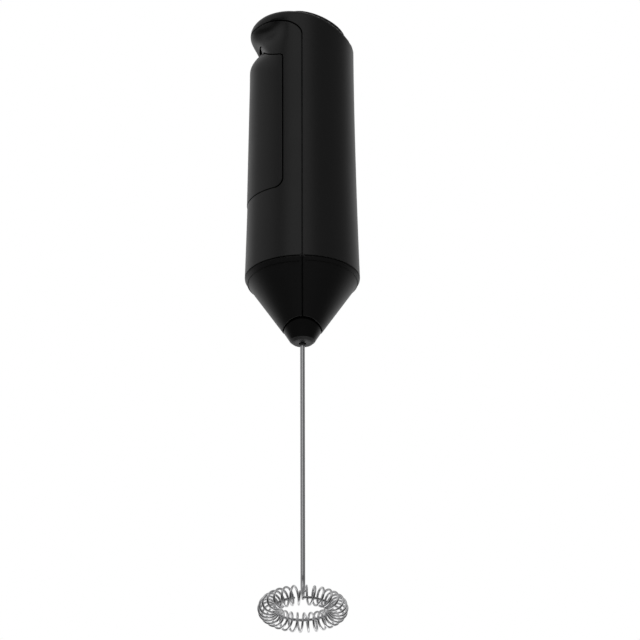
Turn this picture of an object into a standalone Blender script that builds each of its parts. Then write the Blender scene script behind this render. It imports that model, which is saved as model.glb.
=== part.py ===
"""Hand-held milk frother: two-cell handle with a motor, a steel rod and a ring-shaped coil whisk.

Sizes are in millimetres here and are written as metres.  Z runs up the handle, the whisk hangs
below, and X = Y = 0 is the axis the whisk turns about.  Z = 0 is the widest section, where the
grip meets the nose cone.  The battery cover and the finger scoop face -X.
"""
import math

import bmesh
import bpy
from mathutils import Matrix, Vector

MM = 0.001

# ---- body ----
BODY_R = 19.0            # radius at the widest section
TAPER = 1.95             # how much the radius drops towards the head
TOP_R = BODY_R - TAPER
GRIP_L = 85.6            # height over which the grip tapers
WALL = 1.8
ROOF_WALL = 1.4
CONE_SLOPE = 0.664       # radius lost per unit of height down the nose cone
CONE_WALL = WALL * math.hypot(1.0, CONE_SLOPE)
GROOVE = 0.35            # fine groove round the widest section
GAP = 0.3                # between outer panels
SEGMENTS = 48

# ---- roof of the head: a sloped, slightly domed surface ----
ROOF_Z = GRIP_L + 6.5
ROOF_APEX_X = -7.0
ROOF_FALL = 0.0166
ROOF_CROWN = 1.8
ROOF_EDGE = 0.5          # rounding along the back edge
BROW_EDGE = 1.8          # extra rounding over the front of the head

# ---- parting line between the two shells ----
SEAM_Z = GRIP_L - 4.4    # height at which the seam turns to the front
SEAM_RISE = 6.35
SEAM_RUN = 12.5

# ---- batteries: two AA cells side by side ----
CELL_R = 7.25
CELL_L = 50.5
CELL_NUB_R = 2.75
CELL_NUB_L = 1.0
CELL_X = -1.0
CELL_Y = CELL_R + 0.1
CONTACT_T = 0.3
SPRING_L = 3.4
TOUCH = 0.05             # between metal parts that bear on each other
TRAY_T = 1.6
TRAY_Z = 19.6            # underside of the tray's lower plate
BAY_Z = TRAY_Z + TRAY_T + TOUCH + CONTACT_T + TOUCH
BAY_TOP = BAY_Z + CELL_L + SPRING_L + 2 * TOUCH
TRAY_TOP = BAY_TOP + CONTACT_T + TOUCH
SPINE_X = CELL_X + CELL_R + 0.95
SPINE_W = 12.0
LEAD_R = 0.7
LEAD_X = SPINE_X + TRAY_T + 2.4
LEAD_Y = 5.4

# ---- battery cover and finger scoop ----
COVER_SIDE = math.radians(68.0)   # half of the angle the cover wraps round the front
COVER_Z = 25.9
COVER_CORNER = 3.0
COVER_PROUD = 0.15
SHOULDER_Z = GRIP_L - 11.2        # the cover's top edge at its two sides
ARCH = 6.9                        # how much higher the edge is at the front
SCOOP_SIDE = math.radians(72.0)
SCOOP_D = 4.5
SHOULDER_L = 7.0
BROW_Z = GRIP_L + 2.0
BROW_D = 2.2
SLOT_SIDE = math.radians(27.0)      # half of the angle of the slot above the cover
SLOT_RISE = 0.62
SLOT_H = 0.75
SLOT_DROP = 0.9

# ---- nose collar ----
MOUTH_X = 6.5
MOUTH_Y = 7.8
COLLAR_GAP_X = 0.35
COLLAR_GAP_Y = 0.6
COLLAR_SLOPE = 0.605      # radius lost per unit of height down the collar's side
COLLAR_EDGE_R = 4.2       # where the side meets the slightly domed end
COLLAR_REACH = 0.11       # how far the collar's edge lies below the line of the nose cone
COLLAR_EDGE_Z = (COLLAR_EDGE_R - BODY_R) / CONE_SLOPE - COLLAR_REACH
COLLAR_H = 11.0           # height of the collar above its edge, with its flange inside the body
MOUTH_TOP = COLLAR_EDGE_Z + COLLAR_H + 0.4
CONE_END_Z = (MOUTH_X - 1.1 - BODY_R) / CONE_SLOPE    # the cone runs on to here, then the mouth is cut
DOME_H = 0.95
NOSE_Z = COLLAR_EDGE_Z - DOME_H                       # flat ring at the very end
NOSE_FLAT_R = 2.7
FLANGE_R = 8.0

# ---- whisk ----
ROD_R = 0.79
RING_WIRE_R = 0.48
WHISK_Z = -117.9
RING_R = 9.5
COIL_RING_R = 11.45
COIL_R = 3.05
COIL_WIRE_R = 0.4
COIL_TURNS = 29
COIL_GAP = math.radians(3.5)
BORE_CLEAR = 0.4         # radial room for the rod in the collar

# ---- motor ----
MOTOR_R = 10.0
MOTOR_FLAT = 7.55
MOTOR_Z = -7.0
MOTOR_L = 21.0
CASE_T = 0.8
END_CAP_T = 2.0
SHAFT_R = 1.0
RUN = 0.06               # running clearance
POLE_R = 0.66 * MOTOR_R
MAGNET_R = 0.72 * MOTOR_R
CORE_Z = MOTOR_Z + 4.0
CORE_L = MOTOR_L - 11.0
COMM_R = 2.4
COMM_Z = MOTOR_Z + MOTOR_L - 4.6
COMM_L = 3.0
BUSH_R = 2.0
COUPLING_R = 2.6
COUPLING_Z = -17.0
COUPLING_L = 8.2

# ---- push button ----
BUTTON_X = 4.1
BUTTON_TILT = math.radians(22.0)
BUTTON_R = 10.4
BUTTON_TOP = 2.3
BUTTON_FLANGE = 1.2
BUTTON_CLEAR = 0.3
STEM_R = 1.6


def smooth(t):
    t = min(max(t, 0.0), 1.0)
    return t * t * (3.0 - 2.0 * t)


def grip_r(z):
    """Outer radius of the body: nose cone below Z = 0, tapering grip above it."""
    if z <= 0.0:
        return BODY_R + CONE_SLOPE * z
    return TOP_R + TAPER * max(1.0 - z / GRIP_L, 0.0) ** 1.6


def arch(angle):
    t = abs(angle) / SCOOP_SIDE
    return math.cos(0.5 * math.pi * t) ** 2 if t < 1.0 else 0.0


def crease_z(angle):
    """Height of the line where cover and scoop meet; angle 0 is the front."""
    return SHOULDER_Z + ARCH * arch(angle)


def inset(angle, z):
    """How far the finger scoop and the cover's shoulder lie inside the plain grip."""
    deep, crease = SCOOP_D * arch(angle), crease_z(angle)
    if z <= crease:
        return deep * max(1.0 - (crease - z) / SHOULDER_L, 0.0) ** 1.9
    s = min((z - crease) / (BROW_Z - crease), 1.0)
    t = abs(angle) / (SCOOP_SIDE * 1.06)
    brow = BROW_D * math.sin(math.pi * t ** 1.3) ** 2 if t < 1.0 else 0.0
    return deep * (1.0 - s) ** 1.7 + brow * s ** 3 * (1.0 - s) * 9.48


def roof_z(x, y):
    return ROOF_Z - ROOF_FALL * (x - ROOF_APEX_X) ** 2 - ROOF_CROWN * (y / TOP_R) ** 2


def edge_r(angle):
    return ROOF_EDGE + BROW_EDGE * smooth(0.5 + 0.9 * math.cos(angle))


def radial(angle, r, z):
    return Vector((-r * math.cos(angle), -r * math.sin(angle), z))


def roof_at(angle, r):
    p = radial(angle, r, 0.0)
    return roof_z(p.x, p.y)


def spread(a, b, n):
    return [a + (b - a) * i / n for i in range(1, n + 1)]


def outer_column(angle, proud=0.0):
    """Outline of the body's outside from the nose to the centre of the roof."""
    rows = [CONE_END_Z, 0.78 * CONE_END_Z, 0.4 * CONE_END_Z, -0.25]
    pts = [(grip_r(z), z) for z in rows]
    pts += [(grip_r(0.0) - GROOVE, 0.1), (grip_r(0.5), 0.5)]
    edge = edge_r(angle)
    top = roof_at(angle, TOP_R) - edge
    crease, brow = crease_z(angle), min(BROW_Z, top - 0.4)
    low = SHOULDER_Z + ARCH * arch(angle) - SHOULDER_L
    zs = spread(0.5, low, 6) + spread(low, crease, 5) + spread(crease, brow, 7) + [top]
    pts += [(grip_r(z) - inset(angle, z) + proud, z) for z in zs]
    for k in (1, 2, 3):
        a = 0.5 * math.pi * k / 3
        r = TOP_R - edge * (1.0 - math.cos(a))
        pts.append((r, roof_at(angle, r) - edge * (1.0 - math.sin(a))))
    last = TOP_R - edge
    pts += [(r, roof_at(angle, r)) for r in (last * 0.75, last * 0.45, last * 0.2)]
    return pts


def inner_column(angle):
    """Outline of the inside from the centre of the roof down to the nose, with two motor ribs."""
    top_r = TOP_R - WALL
    top = roof_at(angle, top_r) - ROOF_WALL
    crease = crease_z(angle)
    low = crease - SHOULDER_L
    pts = [(top_r * t, roof_at(angle, top_r * t) - ROOF_WALL) for t in (0.2, 0.6, 1.0)]
    zs = [top - (top - crease) * i / 6 for i in range(1, 7)]
    zs += [crease - SHOULDER_L * i / 3 for i in range(1, 4)]
    rib = MOTOR_Z + MOTOR_L - 6.0
    zs += [0.6 * low, 0.35 * low, rib + 1.6]
    pts += [(grip_r(z) - inset(angle, z) - WALL, z) for z in zs]
    hug = MOTOR_R + GAP
    pts += [(hug, rib + 1.6), (hug, rib), (grip_r(rib) - WALL, rib)]
    seat = MOTOR_Z - GAP
    pts += [(grip_r(0.0) - WALL, 0.0), (grip_r(seat) - CONE_WALL, seat)]
    pts += [(0.5 * MOTOR_R, seat), (0.5 * MOTOR_R, seat - 1.6)]
    pts += [(grip_r(z) - CONE_WALL, z) for z in (seat - 1.6, CONE_END_Z)]
    return pts


def material(name, colour, metallic, rough):
    mat = bpy.data.materials.new(name)
    mat.use_nodes = True
    shader = mat.node_tree.nodes["Principled BSDF"]
    shader.inputs["Base Color"].default_value = (*colour, 1.0)
    shader.inputs["Metallic"].default_value = metallic
    shader.inputs["Roughness"].default_value = rough
    return mat


def finish(bm, name, look, hide=False):
    """Turn a bmesh in millimetres into a named object in metres.

    Cutters (hide) are triangulated, so that the Booleans meet no bent four-sided face.
    """
    bmesh.ops.remove_doubles(bm, verts=bm.verts, dist=1e-5)
    if hide:
        bmesh.ops.triangulate(bm, faces=bm.faces, quad_method="FIXED")
    bmesh.ops.recalc_face_normals(bm, faces=bm.faces)
    bmesh.ops.scale(bm, vec=(MM, MM, MM), verts=bm.verts)
    mesh = bpy.data.meshes.new(name)
    bm.to_mesh(mesh)
    bm.free()
    obj = bpy.data.objects.new(name, mesh)
    bpy.context.scene.collection.objects.link(obj)
    if hide:
        obj.hide_render = True
        obj.display_type = "WIRE"
    else:
        mesh.materials.append(material(name, *look))
    return obj


def skin(bm, rings, caps=True):
    """Join closed rings of points into a surface."""
    loops = [[bm.verts.new(p) for p in ring] for ring in rings]
    n = len(loops[0])
    for a, b in zip(loops, loops[1:]):
        for i in range(n):
            j = (i + 1) % n
            bm.faces.new((a[i], a[j], b[j], b[i]))
    if caps:
        bm.faces.new(loops[0])
        bm.faces.new(loops[-1])


def lathe(profile, name, look, sides=32, place=None, hide=False):
    """Closed ring or plug from an outline of (radius, height) corners, turned about Z."""
    bm = bmesh.new()
    on_axis = [r < 1e-6 for r, _ in profile]
    columns = []
    for i in range(sides):
        a = 2 * math.pi * i / sides
        columns.append([bm.verts.new((r * math.cos(a), r * math.sin(a), z)) for r, z in profile])
    for i in range(sides):
        a, b = columns[i], columns[(i + 1) % sides]
        for k in range(len(profile)):
            m = (k + 1) % len(profile)
            if on_axis[k] and on_axis[m]:
                continue
            quad = [a[k], b[k], b[m], a[m]]
            if on_axis[k]:
                quad = [a[k], b[m], a[m]]
            elif on_axis[m]:
                quad = [a[k], b[k], a[m]]
            bm.faces.new(quad)
    if place is not None:
        bmesh.ops.transform(bm, matrix=place, verts=bm.verts)
    return finish(bm, name, look, hide)


def box(lo, hi, name, look, hide=False):
    bm = bmesh.new()
    size = [h - l for l, h in zip(lo, hi)]
    mid = [0.5 * (h + l) for l, h in zip(lo, hi)]
    place = Matrix.Translation(mid) @ Matrix.Diagonal((*size, 1.0))
    bmesh.ops.create_cube(bm, size=1.0, matrix=place)
    return finish(bm, name, look, hide)


def prism(outline, y0, y1, name, look, hide=False):
    """Extrude an outline of (x, z) corners along Y."""
    bm = bmesh.new()
    skin(bm, [[(x, y, z) for x, z in outline] for y in (y0, y1)])
    return finish(bm, name, look, hide)


def plate(outline, z0, z1, name, look, hide=False):
    """Extrude an outline of (x, y) corners along Z."""
    bm = bmesh.new()
    skin(bm, [[(x, y, z) for x, y in outline] for z in (z0, z1)])
    return finish(bm, name, look, hide)


def strip(path, t, y0, y1, name, look):
    """A bent metal strip: a path of (x, z) points given a thickness."""
    upper, lower = [], []
    for i, (x, z) in enumerate(path):
        before = path[max(i - 1, 0)]
        after = path[min(i + 1, len(path) - 1)]
        d1 = Vector((x - before[0], z - before[1]))
        d2 = Vector((after[0] - x, after[1] - z))
        d1 = d1.normalized() if d1.length else d2.normalized()
        d2 = d2.normalized() if d2.length else d1
        mid = (d1 + d2).normalized()
        reach = 0.5 * t / max(mid.dot(d1), 0.5)
        upper.append((x - mid.y * reach, z + mid.x * reach))
        lower.append((x + mid.y * reach, z - mid.x * reach))
    return prism(upper + lower[::-1], y0, y1, name, look)


def arc_block(r0, r1, a0, a1, z0, z1, name, look, steps=10, hide=False):
    """A curved block about Z; angles are measured from the front (-X)."""
    bm = bmesh.new()
    rings = []
    for i in range(steps + 1):
        a = a0 + (a1 - a0) * i / steps
        rings.append([radial(a, r, z) for r, z in ((r0, z0), (r1, z0), (r1, z1), (r0, z1))])
    skin(bm, rings)
    return finish(bm, name, look, hide)


def sweep(path, radii, sides, name, look):
    """A round wire of changing radius along a path of points."""
    bm = bmesh.new()
    pts = [Vector(p) for p in path]
    rings, up = [], None
    for i, p in enumerate(pts):
        d = (pts[min(i + 1, len(pts) - 1)] - pts[max(i - 1, 0)]).normalized()
        if up is None:
            up = d.orthogonal().normalized()
        up = (up - d * up.dot(d)).normalized()
        side = d.cross(up)
        r = radii[i]
        rings.append([p + (up * math.cos(a) + side * math.sin(a)) * r
                      for a in (2 * math.pi * k / sides for k in range(sides))])
    skin(bm, rings)
    return finish(bm, name, look)


def cut(target, tools, mode="DIFFERENCE"):
    for tool in tools:
        mod = target.modifiers.new(mode.lower(), "BOOLEAN")
        mod.operation = mode
        mod.object = tool
        mod.solver = "EXACT"
    return target


def cup(name, look, proud=0.0):
    """The whole hollow body as one closed solid, before it is split into panels."""
    bm = bmesh.new()
    columns = []
    for i in range(SEGMENTS):
        a = 2 * math.pi * i / SEGMENTS
        col = outer_column(a, proud) + [(0.0, roof_z(0.0, 0.0))]
        col += [(0.0, roof_z(0.0, 0.0) - ROOF_WALL)] + inner_column(a)
        columns.append([bm.verts.new(radial(a, r, z)) for r, z in col])
    n = len(columns[0])
    pole = len(outer_column(0.0))
    for i in range(SEGMENTS):
        a, b = columns[i], columns[(i + 1) % SEGMENTS]
        for k in range(n):
            m = (k + 1) % n
            if k == pole:
                continue
            if m == pole:
                bm.faces.new((a[k], b[k], a[m]))
            elif k == pole + 1:
                bm.faces.new((a[k], b[m], a[m]))
            else:
                bm.faces.new((a[k], b[k], b[m], a[m]))
    bmesh.ops.triangulate(bm, faces=bm.faces, quad_method="FIXED")
    return finish(bm, name, look)


def seam(offset):
    """The parting line seen from the side, moved by an offset towards the back and up."""
    pts = [(offset, -60.0), (offset, SEAM_Z)]
    for i in range(1, 13):
        turn = 0.5 * math.pi * i / 12
        n = Vector((SEAM_RISE * math.cos(turn), SEAM_RUN * math.sin(turn))).normalized()
        pts.append((-SEAM_RUN * (1 - math.cos(turn)) + offset * n.x,
                    SEAM_Z + SEAM_RISE * math.sin(turn) + offset * n.y))
    pts.append((-60.0, pts[-1][1]))
    return pts


def cover_block(grow, name):
    """The space of the battery cover, grown by a gap: straight sides and an arched top edge."""
    side = -TOP_R * math.cos(COVER_SIDE) + grow
    low = COVER_Z - grow
    pts = [(-60.0, low)]
    for i in range(7):
        a = 0.5 * math.pi * i / 6
        pts.append((side - COVER_CORNER * (1 - math.sin(a)), low + COVER_CORNER * (1 - math.cos(a))))
    block = prism(pts + [(side, 120.0), (-60.0, 120.0)], -40, 40, name, None, hide=True)
    bm = bmesh.new()
    rings = []
    for i in range(-15, 15):
        a = 2 * math.pi * (i + 0.5) / SEGMENTS
        top = crease_z(a) + grow
        rings.append([radial(a, r, z) for r, z in ((1.0, -60.0), (60.0, -60.0), (60.0, top), (1.0, top))])
    skin(bm, rings)
    return cut(block, [finish(bm, name + "_top", None, hide=True)], "INTERSECT")


def hole(x, y, r, z0, z1, name):
    return lathe([(0, z0), (r, z0), (r, z1), (0, z1)], name, None, 16,
                 Matrix.Translation((x, y, 0)), hide=True)


for old in list(bpy.data.objects):
    bpy.data.objects.remove(old, do_unlink=True)

BLACK = ((0.018, 0.018, 0.019), 0.0, 0.42)
DARK = ((0.03, 0.03, 0.032), 0.0, 0.5)
GREY = ((0.25, 0.25, 0.26), 0.0, 0.5)
STEEL = ((0.62, 0.62, 0.63), 1.0, 0.22)
ZINC = ((0.55, 0.56, 0.58), 1.0, 0.35)
BRASS = ((0.75, 0.55, 0.25), 1.0, 0.3)
COPPER = ((0.7, 0.32, 0.16), 1.0, 0.35)
IRON = ((0.3, 0.3, 0.31), 1.0, 0.5)
MAGNET = ((0.08, 0.08, 0.085), 0.0, 0.7)
CARBON = ((0.05, 0.05, 0.05), 0.0, 0.6)
CELL = ((0.12, 0.2, 0.34), 0.0, 0.35)
RED = ((0.6, 0.03, 0.02), 0.0, 0.45)

# ---- outer panels ----
mouth = lathe([(0, -40), (1, -40), (1, MOUTH_TOP), (0, MOUTH_TOP)], "mouth_cutter", None, 48,
              Matrix.Diagonal((MOUTH_X, MOUTH_Y, 1, 1)), hide=True)
front_side = prism([(-60.0, -60.0)] + seam(-0.5 * GAP), -40, 40, "front_side", None, hide=True)
behind_seam = prism([(-60.0, -60.0)] + seam(0.5 * GAP), -40, 40, "behind_seam", None, hide=True)
window = cover_block(0.5 * GAP, "window_cutter")
bm = bmesh.new()
rings = []
for i in range(-8, 9):
    z = SHOULDER_Z + ARCH + SLOT_RISE - SLOT_DROP * (i / 8) ** 2
    rings.append([radial(SLOT_SIDE * i / 8, r, z + dz)
                  for r, dz in ((8.0, 0.0), (20.0, 0.0), (20.0, SLOT_H), (8.0, SLOT_H))])
skin(bm, rings)
slot = finish(bm, "slot_cutter", None, hide=True)

button_at = Matrix.Translation((BUTTON_X, 0, roof_z(BUTTON_X, 0))) @ Matrix.Rotation(BUTTON_TILT, 4, "Y")
button_r = BUTTON_R + BUTTON_CLEAR
button_hole = lathe([(0, -6), (button_r, -6), (button_r, 9), (0, 9)], "button_hole", None, 48,
                    button_at, hide=True)

rear_shell = cut(cup("rear_shell", BLACK), [behind_seam, mouth, button_hole])
front_shell = cut(cup("front_shell", BLACK), [front_side], "INTERSECT")
cut(front_shell, [window, mouth, slot])

battery_cover = cut(cup("battery_cover", BLACK, COVER_PROUD),
                    [cover_block(-0.5 * GAP, "panel_keep")], "INTERSECT")
hooks = []
hook_r = grip_r(COVER_Z) - WALL - GAP
for k, at in enumerate((-0.42, 0.42)):
    hooks.append(arc_block(hook_r - 1.5, hook_r, at - 0.12, at + 0.12, COVER_Z - 2.0, COVER_Z + 2.6,
                           f"hook_{k}", None, 4, hide=True))
    hooks.append(arc_block(hook_r - 0.7, hook_r + 1.0, at - 0.11, at + 0.11, COVER_Z + 0.6,
                           COVER_Z + 2.3, f"hook_root_{k}", None, 4, hide=True))
cut(battery_cover, hooks, "UNION")

# ---- push button ----
stem_tip = (roof_z(BUTTON_X, 0) - TRAY_TOP - TRAY_T - 2.15) / math.cos(BUTTON_TILT)
dome = [(0.0, BUTTON_TOP)] + [(BUTTON_R * t, BUTTON_TOP - 0.5 * t * t) for t in (0.3, 0.6, 0.88)]
dome += [(BUTTON_R - 0.25, BUTTON_TOP - 0.75), (BUTTON_R, BUTTON_TOP - 1.3)]
flange_z = -4.6
skirt = [(BUTTON_R, flange_z), (BUTTON_R + BUTTON_FLANGE, flange_z),
         (BUTTON_R + BUTTON_FLANGE, flange_z - 0.8), (BUTTON_R - 1.2, flange_z - 0.8)]
inside = [(BUTTON_R - 1.2, BUTTON_TOP - 2.4), (STEM_R, BUTTON_TOP - 2.2)]
tip = [(STEM_R * math.cos(a), -stem_tip + STEM_R * (1 - math.sin(a)))
       for a in (0.0, 0.5, 1.0, 0.5 * math.pi)]
tip[-1] = (0.0, -stem_tip)
power_button = lathe(dome + skirt + inside + tip, "power_button", BLACK, 40, button_at)

# ---- nose collar ----
bm = bmesh.new()
bore = ROD_R + BORE_CLEAR
rings = []
rows = [COLLAR_EDGE_Z + h for h in (COLLAR_H, 9.8, 9.8, 6.9, 5.2, 4.7, 4.2, 3.7, 0.0)]
for k, z in enumerate(rows):
    ring = []
    for i in range(40):
        a = 2 * math.pi * i / 40
        sx, sy = MOUTH_X - COLLAR_GAP_X, MOUTH_Y - COLLAR_GAP_Y
        oval = 1.0 / math.hypot(math.cos(a) / sx, math.sin(a) / sy)
        side = COLLAR_EDGE_R + COLLAR_SLOPE * (z - COLLAR_EDGE_Z)
        r = FLANGE_R if k < 2 else min(oval, side)
        ring.append((r * math.cos(a), r * math.sin(a), z))
    rings.append(ring)
inner = [(NOSE_FLAT_R + 0.6, NOSE_Z + 0.18), (NOSE_FLAT_R, NOSE_Z), (bore, NOSE_Z), (bore, NOSE_Z + 3.2),
         (COUPLING_R + 0.7, NOSE_Z + 4.4), (COUPLING_R + 0.7, rows[0])]
for r, z in inner:
    rings.append([(r * math.cos(2 * math.pi * i / 40), r * math.sin(2 * math.pi * i / 40), z)
                  for i in range(40)])
skin(bm, rings + [rings[0]], caps=False)
nose_collar = finish(bm, "nose_collar", DARK)

# ---- whisk ----
rod_top = COUPLING_Z + 0.5 * COUPLING_L
path = [Vector((0, 0, rod_top)), Vector((0, 0, 0.5 * (rod_top + WHISK_Z)))]
radii = [ROD_R, ROD_R]
knots = [Vector((0, 0, WHISK_Z + 12)), Vector((0, 0, WHISK_Z + 8)),
         Vector((0, -1.8, WHISK_Z + 4.0)), Vector((0, -5.6, WHISK_Z + 1.2))]
ring_start, ring_end = math.radians(-87), math.radians(252)
knots += [Vector((RING_R * math.cos(a), RING_R * math.sin(a), WHISK_Z))
          for a in (ring_start, ring_start + 0.35)]
for k in range(1, len(knots) - 2):
    p0, p1, p2, p3 = knots[k - 1:k + 3]
    for i in range(5):
        t = i / 5
        path.append(0.5 * (2 * p1 + (p2 - p0) * t + (2 * p0 - 5 * p1 + 4 * p2 - p3) * t ** 2
                           + (3 * p1 - p0 - 3 * p2 + p3) * t ** 3))
        radii.append(ROD_R + (RING_WIRE_R - ROD_R) * smooth((k - 1 + t) / 2))
steps = 30
for i in range(steps + 1):
    a = ring_start + (ring_end - ring_start) * i / steps
    path.append(Vector((RING_R * math.cos(a), RING_R * math.sin(a), WHISK_Z)))
    radii.append(RING_WIRE_R)
whisk_rod = sweep(path, radii, 10, "whisk_rod", STEEL)

path = []
coil_start, coil_end = math.radians(-90) + COIL_GAP, math.radians(270) - COIL_GAP
per_turn = 10
for i in range(COIL_TURNS * per_turn + 1):
    t = i / (COIL_TURNS * per_turn)
    a = coil_start + (coil_end - coil_start) * t
    w = 2 * math.pi * COIL_TURNS * t
    r = COIL_RING_R + COIL_R * math.cos(w)
    path.append(Vector((r * math.cos(a), r * math.sin(a), WHISK_Z + COIL_R * math.sin(w))))
whisk_coil = sweep(path, [COIL_WIRE_R] * len(path), 4, "whisk_coil", STEEL)

# ---- motor ----
case_top = MOTOR_Z + MOTOR_L


def flatted(r, flat, n=40):
    """A round outline with two flats across X."""
    pts = [(r * math.cos(2 * math.pi * i / n), r * math.sin(2 * math.pi * i / n)) for i in range(n)]
    return [(max(-flat, min(flat, x)), y) for x, y in pts]


motor_case = plate(flatted(MOTOR_R, MOTOR_FLAT), MOTOR_Z, case_top, "motor_case", ZINC)
cut(motor_case, [plate(flatted(MOTOR_R - CASE_T, MOTOR_FLAT - CASE_T), MOTOR_Z + CASE_T,
                       case_top + 5, "case_hollow", None, hide=True),
                 hole(0, 0, BUSH_R + RUN, MOTOR_Z - 2, MOTOR_Z + 2, "case_hole")])
for k, at in (("a", -0.5 * math.pi), ("b", 0.5 * math.pi)):
    arc_block(MAGNET_R, MOTOR_R - CASE_T - 0.15, at - 0.78, at + 0.78, CORE_Z - 0.5,
              CORE_Z + CORE_L + 0.5, "magnet_" + k, MAGNET)

end_cap = plate(flatted(MOTOR_R - 0.05, MOTOR_FLAT - 0.05), case_top + TOUCH,
                case_top + TOUCH + END_CAP_T, "motor_end_cap", GREY)
boss = lathe([(0, case_top - 1.0), (BUSH_R + 1, case_top - 1.0), (BUSH_R + 1, case_top + 3.2),
              (0, case_top + 3.2)], "boss", None, 24, hide=True)
cut(end_cap, [boss], "UNION")
term_x0, term_x1, term_y0, term_y1 = 4.0, 5.4, 3.10, 3.50
cut(end_cap, [hole(0, 0, BUSH_R + RUN, case_top - 3, case_top + 2, "cap_hole")]
    + [box((term_x0 - 0.1, s * 3.3 - 0.3, case_top - 2), (term_x1 + 0.1, s * 3.3 + 0.3, case_top + 9),
           f"terminal_slot_{k}", None, hide=True) for k, s in enumerate((-1, 1))])
for k, s in (("a", -1), ("b", 1)):
    y = sorted((s * term_y0, s * term_y1))
    box((term_x0, y[0], COMM_Z + 1.0), (term_x1, y[1], case_top + 4.8), "motor_terminal_" + k, BRASS)
    y = sorted((s * (COMM_R + 0.15), s * (COMM_R + 0.55)))
    box((-1.2, y[0], COMM_Z + 0.5), (term_x1, y[1], COMM_Z + 2.6), "brush_" + k, CARBON)
for name, z in (("motor_front_bush", MOTOR_Z - 0.6), ("motor_rear_bush", case_top - 0.9)):
    lathe([(SHAFT_R + RUN, z), (BUSH_R, z), (BUSH_R, z + 2.0), (SHAFT_R + RUN, z + 2.0)],
          name, BRASS, 24)

shaft_low = rod_top + 0.3
lathe([(0, shaft_low), (SHAFT_R, shaft_low), (SHAFT_R, case_top + 1.3), (0, case_top + 1.3)],
      "motor_shaft", STEEL, 24)
outline = []
hub, neck, shoe = 2.1, 1.0, POLE_R - 1.6
for p in range(3):
    mid = 2 * math.pi * p / 3 + 0.5 * math.pi
    spread_a = math.radians(44)
    across = [Vector((math.cos(mid), math.sin(mid))), Vector((-math.sin(mid), math.cos(mid)))]
    base = math.sqrt(hub * hub - neck * neck)
    pts = [across[0] * base - across[1] * neck, across[0] * shoe - across[1] * neck]
    pts += [Vector((math.cos(mid - spread_a), math.sin(mid - spread_a))) * 1.16 * shoe]
    for i in range(9):
        a = mid - spread_a + 2 * spread_a * i / 8
        pts.append(Vector((math.cos(a), math.sin(a))) * POLE_R)
    pts += [Vector((math.cos(mid + spread_a), math.sin(mid + spread_a))) * 1.16 * shoe]
    pts += [across[0] * shoe + across[1] * neck, across[0] * base + across[1] * neck]
    outline += [tuple(q) for q in pts]
core = plate(outline, CORE_Z, CORE_Z + CORE_L, "armature_core", IRON)
cut(core, [hole(0, 0, SHAFT_R + 0.04, CORE_Z - 3, CORE_Z + CORE_L + 3, "core_bore")])
for p in range(3):
    mid = 2 * math.pi * p / 3 + 0.5 * math.pi
    turn = Matrix.Rotation(mid, 4, "Z")
    bm = bmesh.new()
    rings = []
    for r0 in (0.0, 1.0):
        for grow, side in ((0.25, 0), (1.3, 1)):
            r = 2.55 if r0 == 0.0 else 0.83 * shoe
            hw, z0, z1 = neck + grow, CORE_Z - grow, CORE_Z + CORE_L + grow
            rings.append([Vector((r, -hw, z0)), Vector((r, hw, z0)), Vector((r, hw, z1)),
                          Vector((r, -hw, z1))])
    rings = [rings[0], rings[1], rings[3], rings[2], rings[0]]
    skin(bm, rings, caps=False)
    bmesh.ops.transform(bm, matrix=turn, verts=bm.verts)
    finish(bm, f"winding_{p + 1}", COPPER)
lathe([(SHAFT_R + 0.04, COMM_Z), (COMM_R, COMM_Z), (COMM_R, COMM_Z + COMM_L),
       (SHAFT_R + 0.04, COMM_Z + COMM_L)], "commutator", COPPER, 24)
mid_z = 0.5 * (rod_top + shaft_low)
lathe([(ROD_R + 0.04, COUPLING_Z), (COUPLING_R, COUPLING_Z), (COUPLING_R, COUPLING_Z + COUPLING_L),
       (SHAFT_R + 0.04, COUPLING_Z + COUPLING_L), (SHAFT_R + 0.04, mid_z), (ROD_R + 0.04, mid_z)],
      "shaft_coupling", GREY, 24)

# ---- battery tray, cells and contacts ----
low_r = grip_r(TRAY_Z + TRAY_T) - WALL - GAP
top_r = TOP_R - WALL - 0.5
round_plate = [(low_r * math.cos(2 * math.pi * i / 40), low_r * math.sin(2 * math.pi * i / 40))
               for i in range(40)]
tray = plate(round_plate, TRAY_Z, TRAY_Z + TRAY_T, "battery_tray", DARK)
cut_x = -6.0
top_plate = []
for i in range(33):
    a = math.radians(-113 + 226 * i / 32)
    top_plate.append((max(top_r * math.cos(a), cut_x), top_r * math.sin(a)))
cut(tray, [box((SPINE_X, -SPINE_W, TRAY_Z + 0.5 * TRAY_T), (SPINE_X + TRAY_T, SPINE_W,
               TRAY_TOP + 0.5 * TRAY_T), "spine", None, hide=True),
           plate(top_plate, TRAY_TOP, TRAY_TOP + TRAY_T, "tray_top", None, hide=True)], "UNION")
pad_x = 3.2
cut(tray, [hole(LEAD_X, s * LEAD_Y, LEAD_R + 0.3, z, z + 6, f"lead_hole_{n}")
           for n, (s, z) in enumerate(((-1, TRAY_Z - 2), (1, TRAY_Z - 2), (-1, TRAY_TOP - 2)))]
    + [box((pad_x - 0.35, -9.2, TRAY_TOP - 1), (pad_x + 0.35, 1.2, TRAY_TOP + 3), "pad_slot", None,
           hide=True),
       box((SPINE_X - 1, LEAD_Y - 1.1, BAY_TOP - 0.3), (SPINE_X + 3, LEAD_Y + 1.1, TRAY_TOP),
           "tail_slot", None, hide=True)])


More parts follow.
